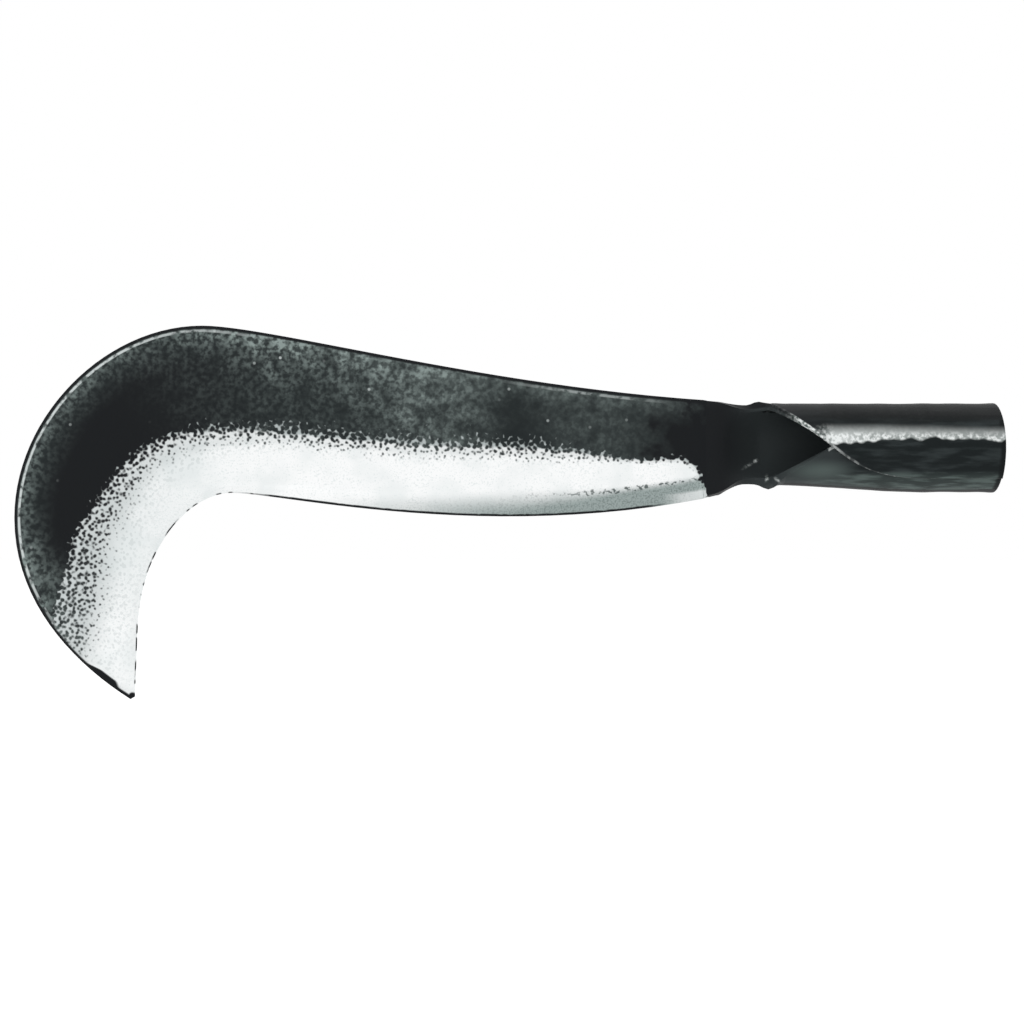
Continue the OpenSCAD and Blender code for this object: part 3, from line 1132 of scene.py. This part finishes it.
        # Painted reflection, low on the tube and on the lower wing.
        low = add("MapRange", SMOOTH, [height, *self.low])
        lines = add("MapRange", None, [drawn, *RISE, *self.reflection_lines])
        for limit in (tube, lines):
            low = add("Math", MULTIPLY, [low, limit])
        near = add("MapRange", SMOOTH, [y, *self.wing_front, *FALL])
        wing = add("Math", MULTIPLY, [self.wing.mask(on), near])
        low = add("Math", MAXIMUM, [low, wing])
        # Painted shade along the top of the tube and at its mouth.
        top = add("MapRange", SMOOTH, [height, *self.top, *RISE])
        mouth = add("MapRange", SMOOTH, [x, *self.mouth])
        top = add("Math", MAXIMUM, [top, mouth])
        top = add("Math", MULTIPLY, [top, tube])
        # Painted shade on faces that look down.
        below = add("MapRange", SMOOTH, [on.marks[Mark.UNDER], *self.below])
        colour = linear(self.soot)
        coats = (
            (tube, skin),
            (inside, linear(self.bore)),
            (low, linear(self.grey)),
            (top, linear(self.shade)),
            (below, linear(self.shade)),
        )
        for share, coat in coats:
            colour = add("Mix", COLOURS, {FACTOR: share, BASE: colour, COAT: coat}, MIXED)
        return colour

    def rub_and_highlight_colour(self, on: Surface, mottle: Socket) -> Socket:
        """Colour of the rubbed metal and its painted highlight: flecked, and plain along the top
        of the streak.

        Args:
            on: Surface to draw on.
            mottle: Pattern of the flecks.

        Returns:
            The colour.
        """
        add = partial(add_node, on.tree)
        x, _, height = on.mm
        past = add("MapRange", SMOOTH, [x, *self.past_throat, *RISE])
        least = add("Math", MULTIPLY, [past, self.least_rub_and_highlight])
        light = add("MapRange", SMOOTH, [mottle, *self.mottle, least, 1.0])
        throat = add("MapRange", SMOOTH, [x, *self.throat_rub_and_highlight])
        throat = add("Math", MULTIPLY, [throat, past])
        light = add("Math", ADD, [light, throat])
        plain = add("MapRange", SMOOTH, [height, *self.plain])
        plain = add("Math", MULTIPLY, [plain, past])
        light = add("MapRange", None, [plain, *RISE, light, self.plain_rub_and_highlight])
        return add(
            "Mix",
            COLOURS,
            {FACTOR: light, BASE: linear(self.rub_and_highlight_dark), COAT: linear(self.rub_and_highlight_light)},
            MIXED,
        )

    def streak(self, on: Surface) -> Socket:
        """Share of rubbed metal and painted highlight in the streak along the front of the tube.

        Args:
            on: Surface to draw on.

        Returns:
            1 on rubbed metal and painted highlight, and 0 elsewhere.
        """
        add = partial(add_node, on.tree)
        x, y, height = on.mm
        scallop = add(
            "TexNoise",
            LINE_NOISE,
            {"W": on.run, "Scale": per_mm(self.scallop_mm), "Detail": 1.0},
        )
        scallop = add("MapRange", None, [scallop, *self.scallop])
        rise = add("MapRange", SMOOTH, [x, *self.streak_rise])
        low = add("Math", ADD, [scallop, rise])
        low = add("Math", SUBTRACT, [height, low])
        streak = add("MapRange", SMOOTH, [low, *self.streak_low, *RISE])
        drop = add("MapRange", None, [x, *self.streak_drop])
        top = add("Math", ADD, [height, drop])
        top = add("MapRange", SMOOTH, [top, *self.streak_top, *FALL])
        front = add("MapRange", SMOOTH, [y, *self.streak_front, *FALL])
        start = add("MapRange", SMOOTH, [x, *self.streak_start, *RISE])
        for limit in (top, front, start):
            streak = add("Math", MULTIPLY, [streak, limit])
        return streak

    def lip_wear_and_highlight(self, on: Surface) -> Socket:
        """Share of rubbed metal and painted highlight on the lip of the upper wing and, in dots,
        on the lap.

        Args:
            on: Surface to draw on.

        Returns:
            1 on rubbed metal and painted highlight, and 0 elsewhere.
        """
        add = partial(add_node, on.tree)
        x, _, height = on.mm
        rub = add("MapRange", SMOOTH, [on.marks[Mark.LIP], *self.lip, *FALL])
        start = add("MapRange", SMOOTH, [x, *self.lip_start, *RISE])
        root = add("MapRange", SMOOTH, [x, *self.lip_root])
        point = add("MapRange", SMOOTH, [x, *self.lip_point])
        dots = add(
            "TexNoise",
            LINE_NOISE,
            {"W": on.run, "Scale": per_mm(self.lap_mm), "Detail": 1.0},
        )
        dots = add("MapRange", SMOOTH, [dots, *self.lap_dots])
        lap = add("MapRange", SMOOTH, [x, *self.lap, 1.0, dots])
        end = add("MapRange", SMOOTH, [x, *self.lap_end, *FALL])
        least = add("MapRange", SMOOTH, [x, *self.lap_depth])
        above = add("Math", SUBTRACT, [height, least])
        upper = add("MapRange", SMOOTH, [above, *RISE, *RISE])
        for limit in (start, root, point, lap, end, upper):
            rub = add("Math", MULTIPLY, [rub, limit])
        return rub


@dataclass
class ForgedPiece:
    """A dressed copy of one CAD node."""

    node: str
    piece: str
    slot: Slot
    cell: float = 2.0
    merge: float = 0.001
    obj: bpy.types.Object | None = field(default=None, repr=False)

    def copy_node(self, nodes: dict) -> None:
        """Copies the node's mesh into a new object and merges its corners.

        Args:
            nodes: CAD objects by name.
        """
        mesh = nodes[self.node].data.copy()
        mesh.name = self.piece
        mesh.materials.clear()
        self.obj = bpy.data.objects.new(self.piece, mesh)
        bpy.context.scene.collection.objects.link(self.obj)
        select_only(self.obj)
        bpy.ops.mesh.customdata_custom_splitnormals_clear()
        bpy.ops.object.mode_set(mode="EDIT")
        bpy.ops.mesh.select_all(action="SELECT")
        bpy.ops.mesh.remove_doubles(threshold=self.merge * MM)
        bpy.ops.object.mode_set(mode="OBJECT")

    def cut_cells(self, axes: Sequence[Vector]) -> None:
        """Cuts the mesh into cells by planes across the given axes.

        Args:
            axes: Directions to cut across.
        """
        low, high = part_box(self.node)
        step = self.cell * MM
        select_only(self.obj)
        bpy.ops.object.mode_set(mode="EDIT")
        for axis in axes:
            start = low.dot(axis)
            count = int((high.dot(axis) - start) / step)
            for i in range(count):
                bpy.ops.mesh.select_all(action="SELECT")
                bpy.ops.mesh.bisect(plane_co=axis * (start + (i + 0.5) * step), plane_no=axis)
        bpy.ops.object.mode_set(mode="OBJECT")

    def keep(self, mark: Mark, values: Sequence[float]) -> None:
        """Keeps one number per point of the mesh, under the name of the mark."""
        layer = self.obj.data.attributes.new(mark.value, "FLOAT", "POINT")
        layer.data.foreach_set("value", list(values))

    def beat(self, weights: Sequence[float], wave: float, depth: float) -> None:
        """Beats shallow hollows into the surface.

        Args:
            weights: Share of the depth at each point.
            wave: Size of a hollow in millimetres.
            depth: Greatest depth in millimetres.
        """
        group = self.obj.vertex_groups.new(name="beaten")
        for i, w in enumerate(weights):
            if w > 0:
                group.add([i], w, "REPLACE")
        hollows = bpy.data.textures.new(self.piece + "_hollows", "CLOUDS")
        hollows.noise_scale = wave * MM
        hollows.noise_depth = 1
        select_only(self.obj)
        shape = self.obj.modifiers.new("beaten", "DISPLACE")
        shape.texture = hollows
        shape.texture_coords = "LOCAL"
        shape.strength = depth * MM
        shape.mid_level = 1.0
        shape.vertex_group = group.name
        bpy.ops.object.modifier_apply(modifier=shape.name)

    def smooth(self, angle: float) -> None:
        """Shades the surface smooth across edges flatter than the angle, in degrees."""
        select_only(self.obj)
        bpy.ops.object.shade_smooth_by_angle(angle=math.radians(angle))

    def dress(self, material: bpy.types.Material) -> None:
        """Puts the finish on and takes the place of the CAD node.

        Args:
            material: Finish of the piece.
        """
        self.obj.data.materials.append(material)
        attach(self.obj, "root")
        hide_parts(self.node)
        LOG.info("%s: %d faces", self.piece, len(self.obj.data.polygons))

    def points(self) -> list[Vector]:
        """Points of the mesh in millimetres."""
        return [v.co / MM for v in self.obj.data.vertices]


@dataclass
class Blade:
    """Iron plate and steel edge of the blade."""

    lines: BladeLines = field(default_factory=BladeLines)
    smooth_angle: float = 12.0
    hollow: float = 13.0
    hollow_depth: float = 0.3
    chamfer: float = 2.4
    plain_ridge: float = 3.0
    plain_weld: float = 5.0
    weld_x: float = WELD_X

    def build(self, nodes: dict) -> None:
        """Builds both pieces and dresses them.

        Args:
            nodes: CAD objects by name.
        """
        near = {
            Mark.GROUND: NearLine(self.lines.scale_line()),
            Mark.EDGE: NearLine(self.lines.edge_line()),
            Mark.SPINE: NearLine(self.lines.spine_line()),
        }
        plate = ForgedPiece("blade_body", "forged_plate", Slot.SCALED_IRON)
        steel = ForgedPiece("cutting_edge", "steel_edge", Slot.GROUND_STEEL)
        finishes = {
            # Forged, so mostly matt and near black, and bright where it is ground, with a painted
            # highlight on the spine's ridge and painted dark outlines as shade on its rims.
            plate.piece: GroundForging("forge_scale_on_wrought_iron"),
            # Ground, so pale and bright, with a grey strip where it is honed and a painted dark
            # line as shade along the cutting edge.
            steel.piece: GroundForging("ground_carbon_steel"),
        }
        for piece in (plate, steel):
            piece.copy_node(nodes)
            piece.cut_cells([Vector((1, 0, 0)), Vector((0, 0, 1))])
            self.mark(piece, near)
            if piece is plate:
                piece.beat(self.beaten(piece, near), self.hollow, self.hollow_depth)
            piece.smooth(self.smooth_angle)
            piece.dress(finishes[piece.piece].material())

    def mark(self, piece: ForgedPiece, near: dict[Mark, NearLine]) -> None:
        """Keeps the distances from the blade's lines on a piece.

        Args:
            piece: Piece to mark.
            near: Lines by mark.
        """
        flat = [Vector((p.x, 0.0, p.z)) for p in piece.points()]
        piece.keep(Mark.GROUND, [near[Mark.GROUND].side(p) for p in flat])
        piece.keep(Mark.EDGE, [near[Mark.EDGE].distance(p) for p in flat])
        piece.keep(Mark.SPINE, [near[Mark.SPINE].distance(p) for p in flat])
        piece.keep(Mark.ALONG, [near[Mark.EDGE].along(p) for p in flat])

    def beaten(self, piece: ForgedPiece, near: dict[Mark, NearLine]) -> list[float]:
        """Share of the hammer's hollows at each point, with none on lines and joints.

        Args:
            piece: Piece to weigh.
            near: Lines by mark.

        Returns:
            One share per point.
        """
        shares = []
        for p in piece.points():
            flat = Vector((p.x, 0.0, p.z))
            off_bevel = ease(-near[Mark.GROUND].side(flat) / self.plain_ridge)
            off_ridge = ease((near[Mark.SPINE].distance(flat) - self.chamfer) / self.plain_ridge)
            off_weld = ease((self.weld_x - p.x) / self.plain_weld - 1)
            shares.append(off_bevel * off_ridge * off_weld)
        return shares


@dataclass
class RolledSocket:
    """Dished neck and rolled, lapped socket."""

    smooth_angle: float = 30.0
    front_slope: float = 2.0
    lip_angle: float = 35.0
    lip_spacing: float = 0.4
    hollow: float = 9.0
    hollow_depth: float = 0.3
    bore_r: float = 13.9
    bore_rim: float = 1.0
    weld_x: float = WELD_X
    weld_end: float = 4.0
    mouth_end: float = 1.0
    plain: float = 5.0

    def build(self, nodes: dict) -> None:
        """Builds the socket and dresses it.

        Args:
            nodes: CAD objects by name.
        """
        piece = ForgedPiece("socket", "rolled_socket", Slot.BLACK_IRON)
        piece.copy_node(nodes)
        piece.cut_cells([Vector((1, 0, 0))])
        near = NearLine(self.lips(piece))
        piece.keep(Mark.LIP, [near.distance(p) for p in piece.points()])
        normals = [v.normal for v in piece.obj.data.vertices]
        piece.keep(Mark.FRONT, [ease(0.5 - self.front_slope * n.y) for n in normals])
        # How far each point faces down, for the painted shade underneath.
        piece.keep(Mark.UNDER, [-n.z for n in normals])
        piece.beat(self.beaten(piece, near), self.hollow, self.hollow_depth)
        piece.smooth(self.smooth_angle)
        # Rolled, so smooth and black; pale where it is rubbed and lightened as a painted
        # highlight, with a painted reflection low down and painted shade on top and underneath.
        piece.dress(RolledScale("black_scale_on_rolled_iron").material())

    def lips(self, piece: ForgedPiece) -> list[Vector]:
        """Points along the sharp edges of the plate, away from the weld and the mouth.

        Args:
            piece: Socket piece.

        Returns:
            Points in millimetres.
        """
        mesh = piece.obj.data
        faces: dict[tuple, list] = {}
        for face in mesh.polygons:
            for key in face.edge_keys:
                faces.setdefault(key, []).append(face.normal)
        least = math.cos(math.radians(self.lip_angle))
        points = []
        for (a, b), normals in faces.items():
            if len(normals) != 2 or normals[0].dot(normals[1]) > least:
                continue
            start = mesh.vertices[a].co / MM
            end = mesh.vertices[b].co / MM
            low, high = sorted((start.x, end.x))
            if high > -self.mouth_end or low < self.weld_x + self.weld_end:
                continue
            count = max(1, int((end - start).length / self.lip_spacing))
            points += [start.lerp(end, i / count) for i in range(count + 1)]
        return points

    def beaten(self, piece: ForgedPiece, near: NearLine) -> list[float]:
        """Share of the hammer's hollows at each point, with none in the bore.

        Args:
            piece: Socket piece.
            near: Sharp edges of the plate.

        Returns:
            One share per point.
        """
        shares = []
        for p in piece.points():
            outside = ease((math.hypot(p.y, p.z) - self.bore_r) / self.bore_rim)
            off_lip = ease(near.distance(p) / self.plain)
            off_weld = ease((p.x - self.weld_x) / self.plain - 1)
            off_mouth = ease(-p.x / self.plain)
            shares.append(outside * off_lip * off_weld * off_mouth)
        return shares


@dataclass(frozen=True)
class Lamp:
    """One soft area lamp, in metres and watts."""

    name: str
    place: Place
    width: float
    height: float
    power: float

    def build(self, target: Place) -> None:
        """Adds the lamp and turns it.

        Args:
            target: Place to turn it to.
        """
        data = bpy.data.lights.new(self.name, "AREA")
        data.shape = "RECTANGLE"
        data.size = self.width
        data.size_y = self.height
        data.energy = self.power
        lamp = bpy.data.objects.new(self.name, data)
        bpy.context.scene.collection.objects.link(lamp)
        lamp.location = self.place
        way = Vector(target) - Vector(self.place)
        lamp.rotation_euler = way.to_track_quat("-Z", "Y").to_euler()


@dataclass
class Studio:
    """White floor, lamps, white surroundings and the camera, in metres."""

    floor_z: float = -0.215
    floor_size: float = 12.0
    floor_colour: str = "#f2f2f2"
    floor_glow: Span = (0.2, 0.5)
    shadow: Span = (0.5, 1.5)
    surround: Span = (0.7, 1.0)
    target: Place = (-0.14, 0.0, 0.0)
    lamps: tuple[Lamp, ...] = (
        Lamp("strip_lamp", (-0.1, -0.946, 0.739), 1.6, 0.16, 2.0),
        Lamp("side_lamp", (-1.1, -0.75, 0.3), 0.5, 0.9, 2.0),
        Lamp("top_lamp", (-0.15, 0.25, 1.3), 1.4, 1.0, 6.0),
    )
    camera_place: Place = (-0.1717, -0.596, -0.0229)
    camera_turn: float = 90.0
    lens: float = 58.6
    sensor: float = 36.0
    clip_start: float = 0.01

    def build(self) -> None:
        """Builds the studio."""
        bpy.context.scene.view_settings.view_transform = "Standard"
        self.build_floor()
        self.build_world()
        for lamp in self.lamps:
            lamp.build(self.target)
        self.build_camera()

    def build_floor(self) -> None:
        """Lays a matt white floor that glows, but keeps a soft shadow."""
        bpy.ops.object.select_all(action="DESELECT")
        bpy.ops.mesh.primitive_plane_add(size=self.floor_size, location=(0, 0, self.floor_z))
        floor = bpy.context.active_object
        floor.name = "floor"
        bpy.ops.object.transform_apply(location=True, rotation=True, scale=True)
        # Painted white and matt, so it mirrors nothing and shows a soft shadow.
        material, tree = new_tree("white_studio_floor")
        add = partial(add_node, tree)
        place = add("TexCoord", out="Object")
        away = add("VectorMath", LENGTH, [place], "Value")
        glow = add("MapRange", SMOOTH, [away, *self.shadow, *self.floor_glow])
        glow = add("Math", MULTIPLY, [glow, self.seen(tree)])
        plain = add("BsdfDiffuse", None, [linear(self.floor_colour)])
        light = add("Emission", None, [WHITE, glow])
        both = add("AddShader", None, [plain, light])
        add("OutputMaterial", None, [both])
        floor.data.materials.append(material)

    def seen(self, tree: Tree) -> Socket:
        """Tells the rays that show the background from those that light the object.

        Args:
            tree: Node tree to add to.

        Returns:
            1 for camera, glossy and transmission rays and 0 for others.
        """
        add = partial(add_node, tree)
        path = add("LightPath").node.outputs
        seen = add("Math", MAXIMUM, [path["Is Camera Ray"], path["Is Glossy Ray"]])
        return add("Math", MAXIMUM, [seen, path["Is Transmission Ray"]])

    def build_world(self) -> None:
        """Makes the surroundings white to look at and softer as a light."""
        world = bpy.data.worlds.new("white_surroundings")
        bpy.context.scene.world = world
        world.use_nodes = True
        tree = world.node_tree
        tree.nodes.clear()
        add = partial(add_node, tree)
        strength = add("MapRange", None, [self.seen(tree), *RISE, *self.surround])
        white = add("Background", None, [WHITE, strength])
        add("OutputWorld", None, [white])

    def build_camera(self) -> None:
        """Sets the camera square to the blade, at the photograph's distance."""
        data = bpy.data.cameras.new("camera")
        data.lens = self.lens
        data.sensor_width = self.sensor
        data.clip_start = self.clip_start
        camera = bpy.data.objects.new("camera", data)
        bpy.context.scene.collection.objects.link(camera)
        camera.location = self.camera_place
        camera.rotation_euler = (math.radians(self.camera_turn), 0.0, 0.0)
        bpy.context.scene.camera = camera


def main() -> None:
    """Builds the billhook head and its studio."""
    logging.basicConfig(level=logging.INFO, format="%(name)s: %(message)s")
    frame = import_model()
    Blade().build(frame["nodes"])
    RolledSocket().build(frame["nodes"])
    Studio().build()


if __name__ == "__main__":
    main()
